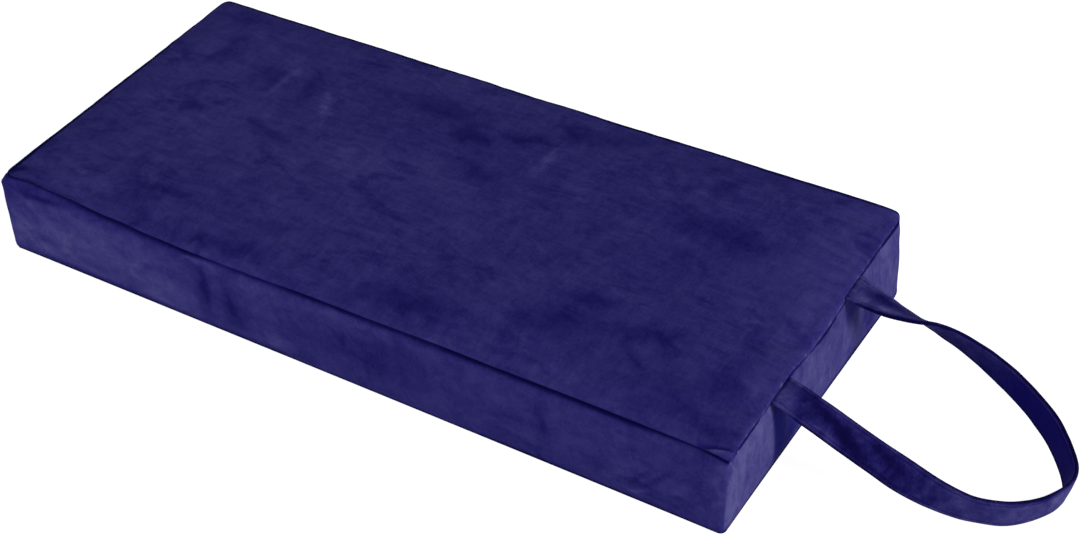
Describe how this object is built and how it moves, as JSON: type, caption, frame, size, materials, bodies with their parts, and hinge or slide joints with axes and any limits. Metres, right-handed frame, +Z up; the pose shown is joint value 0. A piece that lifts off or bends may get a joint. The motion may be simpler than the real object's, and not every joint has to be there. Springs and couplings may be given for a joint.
{
  "type": "kneeling cushion with carry strap",
  "caption": "Rectangular boxed kneeling cushion in plain dark blue velvet-like cloth, with a crowned top, plain seams and a flat carry strap looped at one short end.",
  "frame": {"origin": "middle of the flat underside of the cushion, on the surface it rests on", "axes": "+X along the length towards the carry strap, +Y across the width, +Z up out of the crowned top"},
  "size_m": [0.5829, 0.2042, 0.0575],
  "materials": {
    "cover_cloth": "dark blue short-pile suede cloth, matt, with soft lighter and darker patches where the nap lies different ways",
    "strap_cloth": "the same dark blue short-pile cloth, folded and sewn flat"
  },
  "bodies": {
    "root": {"cushion": "cover_cloth", "carry_strap": "strap_cloth"}
  },
  "joints": []
}
